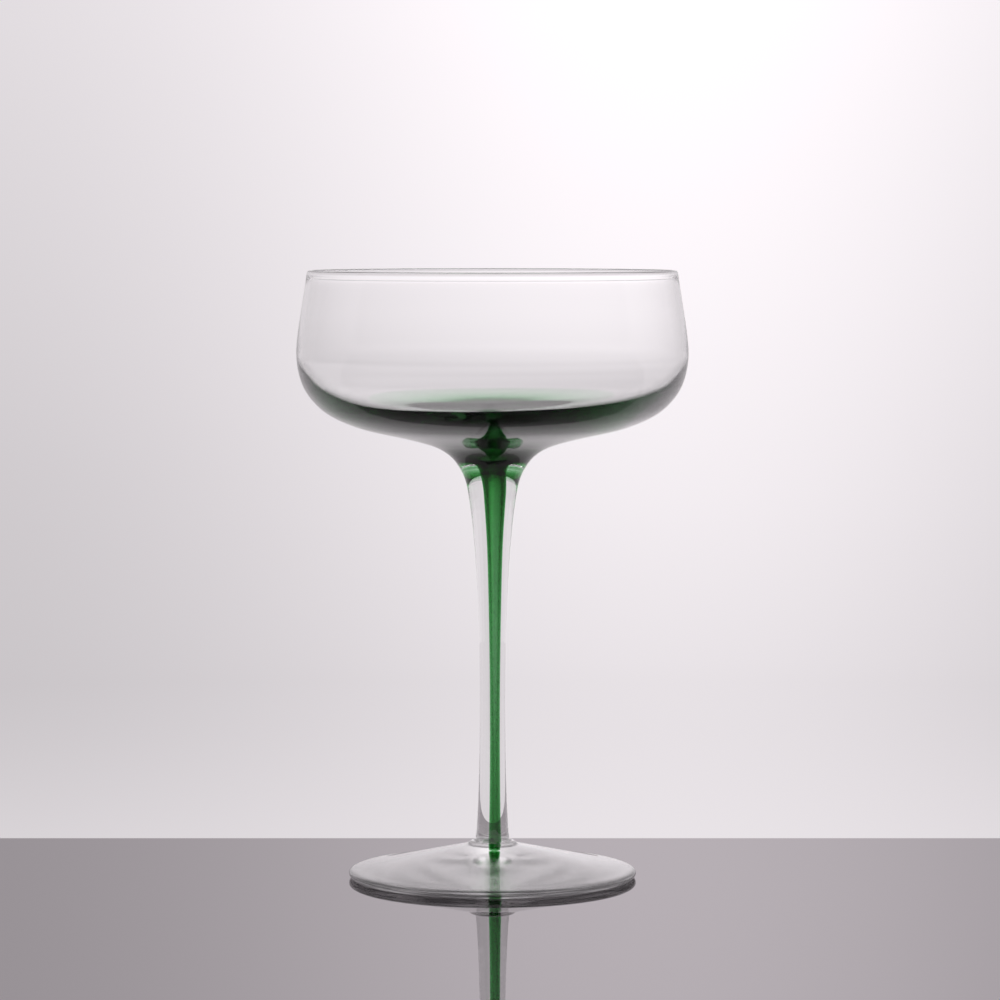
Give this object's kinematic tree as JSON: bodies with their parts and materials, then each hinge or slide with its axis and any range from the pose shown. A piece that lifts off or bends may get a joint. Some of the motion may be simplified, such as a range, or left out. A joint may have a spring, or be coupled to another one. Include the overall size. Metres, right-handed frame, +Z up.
{
  "type": "stemmed glass",
  "caption": "Wide shallow clear bowl on a slim drawn stem with a green glass layer cased inside it, on a clear round foot; a coupe for sparkling wine or a short cocktail.",
  "frame": {"origin": "middle of the foot at the surface that the glass stands on", "axes": "+Z up along the stem, the axis that the bowl, stem and foot are turned about; +X is to the right in the picture"},
  "size_m": [0.1092, 0.1092, 0.17],
  "materials": {
    "bowl_glass": "clear, fire-polished",
    "stem_glass": "clear, drawn",
    "green_glass": "deep green, cased in clear glass",
    "centre_glass": "clear",
    "foot_glass": "clear, faint tool marks"
  },
  "bodies": {
    "root": {"bowl": "bowl_glass", "stem_casing": "stem_glass", "green_stem_layer": "green_glass", "stem_centre_rod": "centre_glass", "foot": "foot_glass"}
  },
  "joints": []
}
